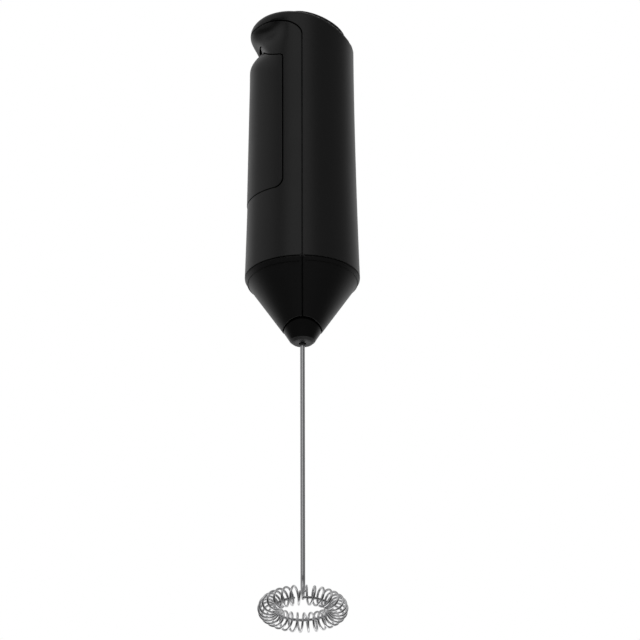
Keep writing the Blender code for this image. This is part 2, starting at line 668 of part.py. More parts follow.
def cell(name, y, up):
    z0 = BAY_Z + (SPRING_L + TOUCH if up else 0.0)
    body = CELL_L - CELL_NUB_L
    r = CELL_R
    prof = [(0, 0), (r - 0.6, 0), (r, 0.5), (r, body - 0.5), (r - 0.6, body), (CELL_NUB_R, body),
            (CELL_NUB_R, CELL_L), (0, CELL_L)]
    place = Matrix.Translation((CELL_X, y, z0))
    if not up:
        place = Matrix.Translation((CELL_X, y, z0 + CELL_L)) @ Matrix.Rotation(math.pi, 4, "X")
    return lathe(prof, name, CELL, 32, place)


cell("battery_cell_a", -CELL_Y, True)
cell("battery_cell_b", CELL_Y, False)


def contact_spring(name, y, z0, z1):
    path = []
    for i in range(28):
        t = i / 27
        r = 4.2 - 1.4 * t
        a = 2 * math.pi * 3 * t
        z = z0 + 0.4 + (z1 - z0 - 0.8) * t
        path.append(Vector((CELL_X + r * math.cos(a), y + r * math.sin(a), z)))
    return sweep(path, [0.3] * 28, 5, name, ZINC)


plate_z = TRAY_Z + TRAY_T + TOUCH
box((CELL_X - 4, -CELL_Y - 4.8, plate_z), (CELL_X + 4, CELL_Y + 4.8, plate_z + CONTACT_T),
    "series_contact", ZINC)
contact_spring("series_spring", -CELL_Y, BAY_Z, BAY_Z + SPRING_L)
box((CELL_X - 3.5, CELL_Y - 4.2, BAY_TOP), (LEAD_X - 0.9, CELL_Y + 4.2, BAY_TOP + CONTACT_T),
    "negative_contact", ZINC)
cut(bpy.data.objects["negative_contact"],
    [box((CELL_X + 3.5, y0, BAY_TOP - 1), (40, y1, BAY_TOP + 1), f"tail_trim_{k}", None, hide=True)
     for k, (y0, y1) in enumerate(((-3, LEAD_Y - 0.8), (LEAD_Y + 0.8, 30)))])
contact_spring("negative_spring", CELL_Y, BAY_Z + CELL_L + TOUCH, BAY_TOP)
half = 0.5 * CONTACT_T
deck = TRAY_TOP + TRAY_T
strip([(CELL_X - 3.5, BAY_TOP + half), (pad_x, BAY_TOP + half), (pad_x, deck + TOUCH + half),
       (-0.5, deck + TOUCH + half)], CONTACT_T, -9.0, 1.0, "positive_contact", ZINC)
foot = deck + TOUCH + half
leaf_end = BUTTON_X - stem_tip * math.sin(BUTTON_TILT) - 2.1    # the leaf reaches past the stem's tip
strip([(LEAD_X + 1.4, foot), (9.4, foot), (8.8, foot + 0.9), (leaf_end, foot + 1.8)], CONTACT_T, -1.5,
      1.5, "switch_leaf", ZINC)

# ---- leads ----
term_z = case_top + 4.2


def lead(name, y, start, look):
    pts = [Vector(p) for p in start]
    pts += [Vector((LEAD_X, y, 0.5 * (start[-1][2] + TRAY_Z))),
           Vector((LEAD_X, y, TRAY_Z + 1.0)), Vector((LEAD_X - 0.3, y, TRAY_Z - 0.6)),
           Vector((LEAD_X - 1.4, 0.9 * y, term_z - 0.2)),
           Vector((LEAD_X - 3.0, 0.75 * y, term_z)),
           Vector((term_x1 + 0.1, math.copysign(3.3, y), term_z))]
    return sweep(pts, [LEAD_R] * (len(pts) - 1) + [0.5], 8, name, look)


lead("lead_red", -LEAD_Y, [(LEAD_X + 0.3, -2.1, deck + 0.85), (LEAD_X + 0.2, -3.4, deck + 1.0),
                           (LEAD_X, -LEAD_Y + 0.5, deck + 0.8), (LEAD_X, -LEAD_Y, deck - 0.4)], RED)
lead("lead_black", LEAD_Y, [(LEAD_X, LEAD_Y, BAY_TOP - 0.2)], BLACK)
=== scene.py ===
import math

import bmesh
import bpy
import numpy as np
from mathutils import Matrix, Vector
from mathutils.geometry import delaunay_2d_cdt
from mathutils.kdtree import KDTree


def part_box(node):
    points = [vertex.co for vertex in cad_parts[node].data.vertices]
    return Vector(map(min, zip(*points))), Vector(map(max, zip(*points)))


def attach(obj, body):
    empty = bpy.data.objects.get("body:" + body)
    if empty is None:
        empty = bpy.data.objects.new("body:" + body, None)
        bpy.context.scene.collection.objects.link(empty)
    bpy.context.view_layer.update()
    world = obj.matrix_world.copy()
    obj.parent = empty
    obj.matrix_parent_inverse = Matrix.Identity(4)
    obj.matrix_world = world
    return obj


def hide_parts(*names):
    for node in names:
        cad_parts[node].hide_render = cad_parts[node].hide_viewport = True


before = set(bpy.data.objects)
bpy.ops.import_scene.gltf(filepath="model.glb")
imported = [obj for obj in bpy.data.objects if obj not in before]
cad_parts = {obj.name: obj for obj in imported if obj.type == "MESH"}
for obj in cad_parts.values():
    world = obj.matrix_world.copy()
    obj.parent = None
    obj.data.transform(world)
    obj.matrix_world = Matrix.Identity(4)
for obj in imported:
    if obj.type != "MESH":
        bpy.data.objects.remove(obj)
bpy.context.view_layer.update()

MM = 0.001
rad = math.radians

# ------------------------------------------------------------------ sizes in millimetres
# The widest section is Z = 0; the grip tapers up to the head and the nose cone goes down.
BODY_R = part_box("rear_shell")[1].y / MM     # radius at the widest section
TAPER = 1.95             # radius lost from there to the head
TOP_R = BODY_R - TAPER
GRIP_L = 85.6
CONE_SLOPE = 0.664       # radius lost per unit of height down the nose cone
CONE_BLEND = 0.3         # height of the soft turn from grip to cone
GROOVE = 0.5             # fine groove round the widest section
GAP = 0.36               # between outer panels
WALL, ROOF_WALL = 1.8, 1.4
EDGE_ROUND = 0.12        # rounding along a panel's edges
PANEL_STEP = 0.55        # spacing of points along a panel's edges
KEEP_OFF = 0.45          # inner points closer to an edge than this are left out
SHARP = rad(35)          # edges bent more than this stay sharp on turned pieces

# roof of the head, sloped and slightly domed
ROOF_Z, ROOF_APEX_X, ROOF_FALL, ROOF_CROWN = GRIP_L + 6.5, -7.0, 0.0166, 1.8
ROOF_EDGE, BROW_EDGE = 0.5, 1.8

# parting line between the shells, where it turns to the front
SEAM_Z, SEAM_RISE, SEAM_RUN = GRIP_L - 4.4, 6.35, 12.5

# battery cover, finger scoop above it, and the slot between them
COVER_SIDE, COVER_Z, COVER_CORNER, COVER_PROUD = rad(68), 26.0, 3.0, 0.15
SHOULDER_Z, ARCH, SHOULDER_L = GRIP_L - 11.2, 6.9, 7.0
SHOULDER_BEND = 1.1      # rounding of the cover's two upper corners
SCOOP_SIDE, SCOOP_D = rad(72), 4.5
SCOOP_LAP = 0.9          # how far the scoop runs on below the crease, behind the cover
BROW_Z, BROW_D, BROW_SPREAD = GRIP_L + 2.0, 2.2, 1.06
BROW_PEAK = 9.48         # brings s ** 3 * (1 - s) to 1 at its highest
SLOT_A, SLOT_Z, SLOT_DROP, SLOT_H = rad(27), 1.0, 0.9, 0.38

# nose collar in its oval mouth
MOUTH_X, MOUTH_Y = 6.5, 7.8
COLLAR_GAP_X, COLLAR_GAP_Y = 0.35, 0.6
COLLAR_SLOPE, COLLAR_EDGE_R, COLLAR_EDGE_Z = 0.605, 4.2, -22.4
NOSE_Z, NOSE_FLAT_R, BORE = -23.35, 2.7, 1.19
FLANGE_R, FLANGE_LOW, FLANGE_TOP = 8.0, -12.6, -11.4
SOCKET_R = 3.3           # room inside the collar for the coupling

# push button, on its own tilted axis; DECK_Z is the top of the battery tray
BUTTON_X, BUTTON_TILT, BUTTON_R = 4.1, rad(22), 10.4
BUTTON_TOP, BUTTON_SKIRT, FLANGE_W, STEM_R = 2.3, -4.6, 1.2, 1.6
DECK_Z, LEAF_ROOM = 77.55, 2.15

# rod, ring and coil of the whisk
ROD_R, RING_WIRE_R, WHISK_Z, RING_R = 0.79, 0.48, -117.9, 9.5
RING_START, RING_END = rad(-87), rad(252)
COIL_RING_R, COIL_R, COIL_WIRE_R, COIL_TURNS, COIL_GAP = 11.45, 3.05, 0.4, 29, rad(3.5)

# ------------------------------------------------------------------ light levels and camera
# The surroundings' brightness by direction: bright behind the object, dim below and in front.
WORLD_Y = [(-1.0, 0.05), (0.15, 0.06), (0.35, 0.12), (0.55, 0.36), (0.85, 0.62), (1.0, 0.7)]
WORLD_Z = [(-1.0, 0.34), (-0.86, 0.2), (-0.7, 0.0), (-0.1, 0.0), (0.3, 0.1), (1.0, 0.25)]
# name, azimuth, elevation, distance, width, height, brightness
LIGHTS = [("key", -8, 32, 0.8, 0.66, 0.55, 0.45), ("left_fill", -82, 25, 1.0, 0.8, 0.8, 0.2),
          ("under", 160, -68, 0.9, 0.8, 0.6, 0.7)]
# the camera looks up at the object; its aim is right of and below the widest section's centre
PITCH, ROLL, FAR = rad(24.2), rad(-0.12), 5.0
AIM_RIGHT, AIM_DOWN, LENS, SENSOR = 5.77, 13.49, 855.0, 36.0


# ------------------------------------------------------------------ body surface
# A point on the body is (a, t): a is the angle from the front (-X); t is the height on the
# wall and runs on over the rounded edge and across the roof towards its centre.
def smooth(t):
    """0 to 1 with level ends."""
    t = np.clip(t, 0.0, 1.0)
    return t * t * (3.0 - 2.0 * t)


def grip_r(z):
    """Outer radius of the body at a height."""
    z = np.asarray(z, float)
    up = TOP_R + (BODY_R - TOP_R) * np.clip(1.0 - z / GRIP_L, 0.0, 1.0) ** 1.6
    blend = BODY_R - CONE_SLOPE / (2 * CONE_BLEND) * np.minimum(z, 0.0) ** 2
    cone = BODY_R + CONE_SLOPE * (z + 0.5 * CONE_BLEND)
    r = np.where(z >= 0, up, np.where(z > -CONE_BLEND, blend, cone))
    return r - GROOVE * np.exp(-((z - 0.02) / 0.2) ** 4)


def arch(a):
    """How the scoop fades from the front (1) to its two sides (0)."""
    t = np.minimum(np.abs(a) / SCOOP_SIDE, 1.0)
    return np.cos(0.5 * np.pi * t) ** 2


def crease_z(a):
    """Height of the line where cover and scoop meet."""
    return SHOULDER_Z + ARCH * arch(a)


def inset_cover(a, z):
    """How far the cover's shoulder lies inside the plain grip."""
    return SCOOP_D * arch(a) * np.maximum(1.0 - (crease_z(a) - z) / SHOULDER_L, 0.0) ** 1.9


def inset_shell(a, z):
    """The same for the shells: the scoop above the crease and the bulge of the brow over it."""
    crease = crease_z(a)
    s = np.minimum((z - crease) / (BROW_Z - crease), 1.0)
    t = np.minimum(np.abs(a) / (SCOOP_SIDE * BROW_SPREAD), 1.0)
    brow = BROW_D * np.sin(np.pi * t ** 1.3) ** 2 * s ** 3 * (1.0 - s) * BROW_PEAK
    above = SCOOP_D * arch(a) * np.clip(1.0 - s, 0.0, None) ** 1.7 + brow
    return np.where(z > crease - SCOOP_LAP, above, inset_cover(a, z))


def roof_z(x, y):
    return ROOF_Z - ROOF_FALL * (x - ROOF_APEX_X) ** 2 - ROOF_CROWN * (y / TOP_R) ** 2


def roof_at(a, r):
    return roof_z(-r * np.cos(a), -r * np.sin(a))


def edge_r(a):
    """Radius of the rounded edge between wall and roof."""
    return ROOF_EDGE + BROW_EDGE * smooth(0.5 + 0.9 * np.cos(a))


def wall_top(a):
    return roof_at(a, TOP_R) - edge_r(a)


def surface(a, t, inset, proud=0.0):
    """Points in millimetres for arrays of a and t."""
    a, t = np.asarray(a, float), np.asarray(t, float)
    top, e = wall_top(a), edge_r(a)
    wall = grip_r(t) - inset(a, t) + proud
    r0 = grip_r(top) - inset(a, top) + proud
    w = np.clip((t - top) / e, 0.0, 0.5 * np.pi)
    over = r0 - e * (1.0 - np.cos(w)) - np.maximum(t - top - 0.5 * np.pi * e, 0.0)
    r = np.where(t < top, wall, over)
    z = np.where(t < top, t, roof_at(a, r) - e * (1.0 - np.sin(w)))
    return np.stack([-r * np.cos(a), -r * np.sin(a), z], -1)


def frame_at(a, t, inset, proud=0.0):
    """Points, normals and the two direction vectors of the surface."""
    h, ha = 0.03, 0.03 / 17      # small steps in t and in a
    p = surface(a, t, inset, proud)
    pa = (surface(a + ha, t, inset, proud) - surface(a - ha, t, inset, proud)) / (2 * ha)
    pt = (surface(a, t + h, inset, proud) - surface(a, t - h, inset, proud)) / (2 * h)
    n = np.cross(pt, pa)
    n /= np.linalg.norm(n, axis=-1, keepdims=True)
    out = p * [1, 1, 0] + [0, 0, 1e-3]
    n *= np.sign((n * out).sum(-1, keepdims=True))
    return p, n, pa, pt


CHART_R = 112.0          # larger than any t on the body


def chart(at):
    """A flat picture of the surface for triangulating it: the head's centre is the middle."""
    rho = CHART_R - at[:, 1]
    return np.stack([rho * np.cos(at[:, 0]), rho * np.sin(at[:, 0])], -1)


def inside(pts, loops):
    """Even-odd test of flat points against closed loops."""
    hit = np.zeros(len(pts), bool)
    for loop in loops:
        q = np.roll(loop, -1, 0)
        for (x0, y0), (x1, y1) in zip(loop, q):
            if y0 == y1:
                continue
            cross = (pts[:, 1] > y0) != (pts[:, 1] > y1)
            hit ^= cross & (pts[:, 0] < x0 + (pts[:, 1] - y0) * (x1 - x0) / (y1 - y0))
    return hit


def resample(at, inset, step):
    """Even spacing along a closed loop, measured on the surface."""
    p = surface(at[:, 0], at[:, 1], inset)
    q = np.vstack([p, p[:1]])
    s = np.concatenate([[0], np.cumsum(np.linalg.norm(np.diff(q, axis=0), axis=1))])
    n = max(int(s[-1] / step), 24)
    want = np.linspace(0, s[-1], n, endpoint=False)
    closed = np.vstack([at, at[:1]])
    return np.stack([np.interp(want, s, closed[:, k]) for k in (0, 1)], -1)


def push(at, sign, dist, inset, proud):
    """Move a closed loop sideways on the surface by a distance."""
    p, n, pa, pt = frame_at(at[:, 0], at[:, 1], inset, proud)
    along = np.roll(p, -1, 0) - np.roll(p, 1, 0)
    along /= np.linalg.norm(along, axis=1, keepdims=True)
    side = np.cross(n, along) * sign
    g11, g12, g22 = (pa * pa).sum(1), (pa * pt).sum(1), (pt * pt).sum(1)
    b1, b2 = (side * pa).sum(1) * dist, (side * pt).sum(1) * dist
    det = g11 * g22 - g12 * g12
    step = np.stack([(b1 * g22 - b2 * g12) / det, (b2 * g11 - b1 * g12) / det], -1)
    return at + step, side


def make_mesh(name, verts, faces, normals=None, mats=()):
    """A smooth object from points in metres, with its own normals if they are given."""
    mesh = bpy.data.meshes.new(name)
    mesh.from_pydata([tuple(v) for v in verts], [], [tuple(int(i) for i in f) for f in faces])
    mesh.update()
    mesh.polygons.foreach_set("use_smooth", [True] * len(mesh.polygons))
    if normals is not None:
        mesh.normals_split_custom_set_from_vertices([tuple(n) for n in normals])
    for m in mats:
        mesh.materials.append(m)
    obj = bpy.data.objects.new(name, mesh)
    bpy.context.scene.collection.objects.link(obj)
    return obj


def from_bmesh(name, bm, mat, sharp=math.pi):
    """The same from a bmesh in millimetres; edges bent more than sharp are not smoothed."""
    bmesh.ops.scale(bm, vec=(MM, MM, MM), verts=bm.verts)
    for f in bm.faces:
        f.smooth = True
    for e in bm.edges:
        if len(e.link_faces) == 2 and e.calc_face_angle(0) > sharp:
            e.smooth = False
    mesh = bpy.data.meshes.new(name)
    bm.to_mesh(mesh)
    bm.free()
    mesh.materials.append(mat)
    obj = bpy.data.objects.new(name, mesh)
    bpy.context.scene.collection.objects.link(obj)
    return obj


def panel(name, loops, lattice, inset, proud, mat, wall=WALL):
    """A moulded panel on the body's surface with rounded edges, walls and an inner side.

    Each loop gives six rings: the inner edge, then five that round over to the outside.
    The outside is filled with the lattice points that lie well within the loops.
    """
    verts, normals, faces, last, back = [], [], [], [], []
    count = 0
    flat = [chart(l) for l in loops]
    for loop in loops:
        at = resample(loop, inset, PANEL_STEP)
        moved, _ = push(at, 1.0, 0.4, inset, proud)
        ok = inside(chart(moved), flat).mean() > 0.5
        sign = 1.0 if ok else -1.0
        rings = []
        for k in range(5):
            beta = 0.5 * math.pi * k / 4
            here, side = push(at, sign, EDGE_ROUND * (1 - math.cos(beta)), inset, proud)
            p, n, _, _ = frame_at(here[:, 0], here[:, 1], inset, proud)
            rings.append((p - n * EDGE_ROUND * (1 - math.sin(beta)),
                          n * math.sin(beta) - side * math.cos(beta)))
        p, n, _, _ = frame_at(at[:, 0], at[:, 1], inset, proud)
        _, side = push(at, sign, 0.0, inset, proud)
        m = len(at)
        rings.insert(0, (p - n * wall, -side))
        base = count
        for p, n in rings:
            verts.append(p)
            normals.append(n)
            count += m
        for k in range(len(rings) - 1):
            for i in range(m):
                j = (i + 1) % m
                quad = (base + k * m + i, base + k * m + j, base + (k + 1) * m + j,
                        base + (k + 1) * m + i)
                faces.append(quad if sign > 0 else quad[::-1])
        last.append((base + (len(rings) - 1) * m, m, here))
        back.append(base)
    tree = KDTree(sum(m for _, m, _ in last))
    for _, _, here in last:
        for p in surface(here[:, 0], here[:, 1], inset, proud):
            tree.insert(Vector(p), 0)
    tree.balance()
    grid = lattice[inside(chart(lattice), flat)]
    p = surface(grid[:, 0], grid[:, 1], inset, proud)
    keep = [tree.find(Vector(q))[2] > KEEP_OFF for q in p]
    grid = grid[np.array(keep)]
    p, n, _, _ = frame_at(grid[:, 0], grid[:, 1], inset, proud)
    at_all = np.vstack([here for _, _, here in last] + [grid])
    ids, edges, k0 = [], [], 0
    for start, m, _ in last:
        ids += list(range(start, start + m))
        edges += [(k0 + i, k0 + (i + 1) % m) for i in range(m)]
        k0 += m
    inner_ids = []
    for b, (_, m, _) in zip(back, last):
        inner_ids += list(range(b, b + m))
    ids += list(range(count, count + len(grid)))
    verts.append(p)
    normals.append(n)
    count += len(grid)
    inner_ids += list(range(count, count + len(grid)))
    verts.append(p - n * wall)
    normals.append(-n)
    count += len(grid)
    uv = chart(at_all)
    out = delaunay_2d_cdt([Vector(q) for q in uv], edges, [], 0, 1e-7, True)
    origin = [o[0] if o else None for o in out[3]]
    tri = np.array([f for f in out[2] if len(f) == 3])
    co = np.array([tuple(v) for v in out[0]])
    rim_flat = [chart(here) for _, _, here in last]
    good = inside(co[tri].mean(1), rim_flat)
    outward = np.vstack(verts)
    nn = np.vstack(normals)
    for f in tri[good]:
        src = [origin[i] for i in f]
        if None in src:
            continue
        o = [ids[i] for i in src]
        v = outward[o]
        if np.dot(np.cross(v[1] - v[0], v[2] - v[0]), nn[o].sum(0)) < 0:
            src, o = src[::-1], o[::-1]
        faces.append(tuple(o))
        faces.append(tuple(inner_ids[i] for i in src[::-1]))
    return make_mesh(name, outward * MM, faces, nn, [mat])


# ------------------------------------------------------------------ outlines of the panels
def seam_z(x):
    """Height of the parting line seen from the side: a quarter ellipse, then level."""
    left = 1.0 - np.clip(-x / SEAM_RUN, 0.0, 1.0)
    return SEAM_Z + SEAM_RISE * np.sqrt(1.0 - left * left)


def seam_t(a):
    """Where the parting line lies on the front half, at angle a."""
    lo, hi = np.full_like(a, 70.0), wall_top(a) + 1.5 * edge_r(a)
    for _ in range(40):
        mid = 0.5 * (lo + hi)
        p = surface(a, mid, inset_shell)
        above = p[..., 2] > seam_z(p[..., 0])
        hi, lo = np.where(above, mid, hi), np.where(above, lo, mid)
    return mid


def mouth_t(a):
    """Where the oval mouth cuts the nose cone, at angle a."""
    want = 1.0 / np.hypot(np.cos(a) / MOUTH_X, np.sin(a) / MOUTH_Y)
    lo, hi = np.full_like(a, -25.0), np.full_like(a, -5.0)
    for _ in range(40):
        mid = 0.5 * (lo + hi)
        wide = grip_r(mid) > want
        hi, lo = np.where(wide, mid, hi), np.where(wide, lo, mid)
    return mid


def seam_loop(front):
    """Closed loop round the front shell, or round the back shell and its roof."""
    half = 0.5 * np.pi
    turn = half * (1 - (np.linspace(1, 0.02, 90)) ** 3)
    over = np.concatenate([-turn[::-1], turn])
    up = np.stack([over, seam_t(over)], -1)
    rise = np.linspace(SEAM_Z, float(mouth_t(np.array([half]))[0]), 200)
    right = np.stack([np.full(200, half), rise], -1)
    low = np.linspace(half, -half if front else 1.5 * np.pi, 80)
    low = np.stack([low, mouth_t(low)], -1)
    # the back loop runs past a = pi and ends at the same place as the front one
    left = np.stack([np.full(200, -half), rise[::-1]], -1)
    return np.vstack([up, right, low[1:-1], left])


def grow(loop, dist):
    """A loop made larger (or smaller) by a distance on the surface."""
    at, _ = push(loop, 1.0, 0.3, inset_shell, 0.0)
    sign = 1.0 if inside(chart(at), [chart(loop)]).mean() < 0.5 else -1.0
    return push(loop, sign, dist, inset_shell, 0.0)[0]


def cover_loop():
    """The battery window: straight sides, round lower corners and an arched top edge."""
    x_side = -TOP_R * math.cos(COVER_SIDE)

    def side_a(t):
        return np.arccos(np.clip(-x_side / grip_r(t), -1, 1))

    r = grip_r(COVER_Z)
    turn = np.linspace(0, 0.5 * np.pi, 14)
    corner_a = side_a(COVER_Z + COVER_CORNER) - COVER_CORNER / r * (1 - np.sin(turn))
    corner = np.stack([corner_a, COVER_Z + COVER_CORNER * (1 - np.cos(turn))], -1)
    top_a = float(side_a(SHOULDER_Z))
    tip = float(crease_z(np.array(top_a - 0.03)))
    rise = np.linspace(COVER_Z + COVER_CORNER, tip - SHOULDER_BEND, 40)[1:]
    side = np.stack([side_a(rise), rise], -1)
    bend = []
    p0, p1 = np.array([top_a, tip - SHOULDER_BEND]), np.array([top_a, tip])
    in_a = top_a - SHOULDER_BEND / TOP_R
    p2 = np.array([in_a, float(crease_z(np.array(in_a)))])
    for s in np.linspace(0.12, 1, 8):
        bend.append((1 - s) ** 2 * p0 + 2 * s * (1 - s) * p1 + s * s * p2)
    over = np.linspace(p2[0], 0, 50)[1:]
    over = np.stack([over, crease_z(over)], -1)
    half = np.vstack([corner, side, bend, over])
    return np.vstack([half, half[::-1][1:] * [-1, 1]])


def slot_loop():
    """The slot above the cover's top edge: a curved slit with round ends."""
    turn = np.linspace(0, 2 * np.pi, 60, endpoint=False)
    a = SLOT_A * np.cos(turn)
    mid = SHOULDER_Z + ARCH + SLOT_Z - SLOT_DROP * (a / SLOT_A) ** 2
    return np.stack([a, mid + SLOT_H * np.sin(turn)], -1)


# the button's axis, its centre on the roof and the direction across it
BUTTON_N = np.array([math.sin(BUTTON_TILT), 0, math.cos(BUTTON_TILT)])
BUTTON_O = np.array([BUTTON_X, 0, float(roof_z(BUTTON_X, 0.0))])
BUTTON_E = np.array([math.cos(BUTTON_TILT), 0, -math.sin(BUTTON_TILT)])


def button_loop(r, n=160):
    """The round hole for the button, laid on the roof along the button's axis."""
    psi = np.linspace(0, 2 * np.pi, n, endpoint=False)
    h = np.zeros(n)
    for _ in range(8):
        p = (BUTTON_O + np.outer(r * np.cos(psi), BUTTON_E) + np.outer(r * np.sin(psi), [0, 1, 0])
             + np.outer(h, BUTTON_N))
        h -= (p[:, 2] - roof_z(p[:, 0], p[:, 1])) / BUTTON_N[2]
    a, rr = np.arctan2(-p[:, 1], -p[:, 0]), np.hypot(p[:, 0], p[:, 1])
    top, e = wall_top(a), edge_r(a)
    r0 = grip_r(top) - inset_shell(a, top)
    return np.stack([a, top + 0.5 * np.pi * e + (r0 - e - rr)], -1)


# ------------------------------------------------------------------ materials
def node(nt, kind, **inputs):
    """A new shader node with some of its inputs set."""
    n = nt.nodes.new(kind)
    for key, value in inputs.items():
        n.inputs[key.replace("_", " ")].default_value = value
    return n


def finish_mat(name, colour, rough, metallic=0.0, vary=0.12, grain=2400.0, bump=0.06,
               stretch=(1, 1, 1), spec=0.5):
    """A surface with fine grain and slow changes of tone and gloss."""
    mat = bpy.data.materials.new(name)
    mat.use_nodes = True
    nt = mat.node_tree
    sh = nt.nodes["Principled BSDF"]
    sh.inputs["Metallic"].default_value = metallic
    sh.inputs["Specular IOR Level"].default_value = spec
    coord = node(nt, "ShaderNodeTexCoord")
    mapping = node(nt, "ShaderNodeMapping", Scale=stretch)
    nt.links.new(coord.outputs["Object"], mapping.inputs["Vector"])
    fine = node(nt, "ShaderNodeTexNoise", Scale=grain, Detail=4.0, Roughness=0.6)
    nt.links.new(mapping.outputs["Vector"], fine.inputs["Vector"])
    relief = node(nt, "ShaderNodeBump", Strength=bump, Distance=0.0001)
    nt.links.new(fine.outputs["Fac"], relief.inputs["Height"])
    nt.links.new(relief.outputs["Normal"], sh.inputs["Normal"])
    slow = node(nt, "ShaderNodeTexNoise", Scale=55.0, Detail=6.0, Roughness=0.55)
    nt.links.new(mapping.outputs["Vector"], slow.inputs["Vector"])
    tone = node(nt, "ShaderNodeValToRGB")
    for el, k in zip(tone.color_ramp.elements, (1 - vary, 1 + vary)):
        el.color = (*[min(c * k, 1.0) for c in colour], 1)
    nt.links.new(slow.outputs["Fac"], tone.inputs["Fac"])
    nt.links.new(tone.outputs["Color"], sh.inputs["Base Color"])
    gloss = node(nt, "ShaderNodeMapRange")
    gloss.inputs["From Min"].default_value = 0.3
    gloss.inputs["From Max"].default_value = 0.7
    gloss.inputs["To Min"].default_value = rough * (1 - 0.5 * vary)
    gloss.inputs["To Max"].default_value = rough * (1 + 0.5 * vary)
    nt.links.new(slow.outputs["Fac"], gloss.inputs["Value"])
    nt.links.new(gloss.outputs["Result"], sh.inputs["Roughness"])
    return mat


def banded(mat, steps, axis="Z"):
    """Colour bands along a piece, from (start, colour) steps in 0 to 1."""
    nt = mat.node_tree
    coord = node(nt, "ShaderNodeTexCoord")
    split = node(nt, "ShaderNodeSeparateXYZ")
    nt.links.new(coord.outputs["Generated"], split.inputs["Vector"])
    ramp = node(nt, "ShaderNodeValToRGB")
    ramp.color_ramp.interpolation = "CONSTANT"
    els = ramp.color_ramp.elements
    for k, (at, colour) in enumerate(steps):
        el = els[k] if k < 2 else els.new(at)
        el.position, el.color = at, (*colour, 1)
    nt.links.new(split.outputs[axis], ramp.inputs["Fac"])
    nt.links.new(ramp.outputs["Color"], nt.nodes["Principled BSDF"].inputs["Base Color"])
    return mat


def striped(mat, scale, axis, depth):
    """Fine parallel grooves, such as stacked sheets or wound wire."""
    nt = mat.node_tree
    relief = [n for n in nt.nodes if n.type == "BUMP"][0]
    coord = node(nt, "ShaderNodeTexCoord")
    wave = node(nt, "ShaderNodeTexWave", Scale=scale, Distortion=0.2)
    wave.bands_direction = axis
    nt.links.new(coord.outputs["Object"], wave.inputs["Vector"])
    nt.links.new(wave.outputs["Fac"], relief.inputs["Height"])
    relief.inputs["Distance"].default_value = depth
    relief.inputs["Strength"].default_value = 0.6
    return mat


shell_mat = finish_mat("black_shell_plastic", (0.0085, 0.0085, 0.0087), 0.40)
cover_mat = finish_mat("black_cover_plastic", (0.008, 0.008, 0.0082), 0.41)
button_mat = finish_mat("black_button_rubber", (0.009, 0.009, 0.0092), 0.5,
                        grain=1700.0, bump=0.1)
collar_mat = finish_mat("black_collar_plastic", (0.008, 0.008, 0.0081), 0.3)
# painted light: a lighter grey for the nose tip's end face, in place of light falling on it from
# below
tip_painted_light_mat = finish_mat("nose_tip_painted_light", (0.036, 0.036, 0.037), 0.42)
steel_mat = finish_mat("rod_steel", (0.60, 0.60, 0.61), 0.2, 1.0, 0.08, 900.0, 0.08, (1, 1, 0.04))
wire_mat = finish_mat("coil_steel", (0.92, 0.92, 0.93), 0.08, 1.0, 0.05, 1500.0, 0.04)
# painted shade: near-black and dull, standing in for the shade in the gap between collar and
# mouth
gap_painted_shade_mat = finish_mat("collar_gap_painted_shade", (0.002, 0.002, 0.002), 0.85, spec=0.1, bump=0.2)
zinc_mat = finish_mat("zinc_plated_steel", (0.55, 0.56, 0.58), 0.34, 1.0, 0.1, 1200.0, 0.1)
bush_mat = finish_mat("sintered_bronze", (0.6, 0.42, 0.2), 0.45, 1.0, 0.15, 3000.0, 0.25)
copper_mat = striped(finish_mat("copper_wire", (0.72, 0.31, 0.14), 0.3, 1.0, 0.15),
                     900.0, "Z", 0.00015)
iron_mat = striped(finish_mat("laminated_iron", (0.3, 0.3, 0.31), 0.5, 1.0, 0.12),
                   1000.0, "Z", 0.0001)
magnet_mat = finish_mat("ferrite", (0.05, 0.05, 0.052), 0.75, 0.0, 0.2, 1800.0, 0.25)
carbon_mat = finish_mat("carbon", (0.03, 0.03, 0.03), 0.6, 0.0, 0.2, 2500.0, 0.2)
nylon_mat = finish_mat("grey_nylon", (0.24, 0.24, 0.25), 0.5)
tray_mat = finish_mat("black_tray_plastic", (0.014, 0.014, 0.0143), 0.5)
red_mat = finish_mat("red_insulation", (0.5, 0.02, 0.015), 0.4)
black_mat = finish_mat("black_insulation", (0.012, 0.012, 0.012), 0.4)
JACKET, BAND, TIN = (0.07, 0.09, 0.11), (0.10, 0.24, 0.26), (0.6, 0.6, 0.6)
cell_a_mat = banded(finish_mat("cell_jacket_a", JACKET, 0.28, 0.7),
                    [(0.0, TIN), (0.012, JACKET), (0.74, BAND), (0.97, TIN)])
cell_b_mat = banded(finish_mat("cell_jacket_b", JACKET, 0.28, 0.7),
                    [(0.0, TIN), (0.03, BAND), (0.26, JACKET), (0.988, TIN)])
CARRIED = {
    "armature_core": iron_mat, "battery_cell_a": cell_a_mat, "battery_cell_b": cell_b_mat,
    "battery_tray": tray_mat, "brush_a": carbon_mat, "brush_b": carbon_mat,
    "commutator": copper_mat, "lead_black": black_mat, "lead_red": red_mat,
    "magnet_a": magnet_mat, "magnet_b": magnet_mat, "motor_case": zinc_mat,
    "motor_end_cap": nylon_mat, "motor_front_bush": bush_mat, "motor_rear_bush": bush_mat,
    "motor_shaft": steel_mat, "motor_terminal_a": zinc_mat, "motor_terminal_b": zinc_mat,
    "negative_contact": zinc_mat, "negative_spring": zinc_mat, "positive_contact": zinc_mat,
    "series_contact": zinc_mat, "series_spring": zinc_mat, "shaft_coupling": nylon_mat,
    "switch_leaf": zinc_mat, "winding_1": copper_mat, "winding_2": copper_mat,
    "winding_3": copper_mat,
}


# ------------------------------------------------------------------ outer panels
def ride(obj, body, node_name):
    """Put a piece on a body, in place of a CAD node if one is named."""
    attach(obj, body)
    if node_name:
        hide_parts(node_name)


def grid_points(n, rows):
    """Points all round the body at each t in rows."""
    return np.array([(a, t) for t in rows for a in np.linspace(-np.pi, np.pi - 2 * np.pi / n, n)])


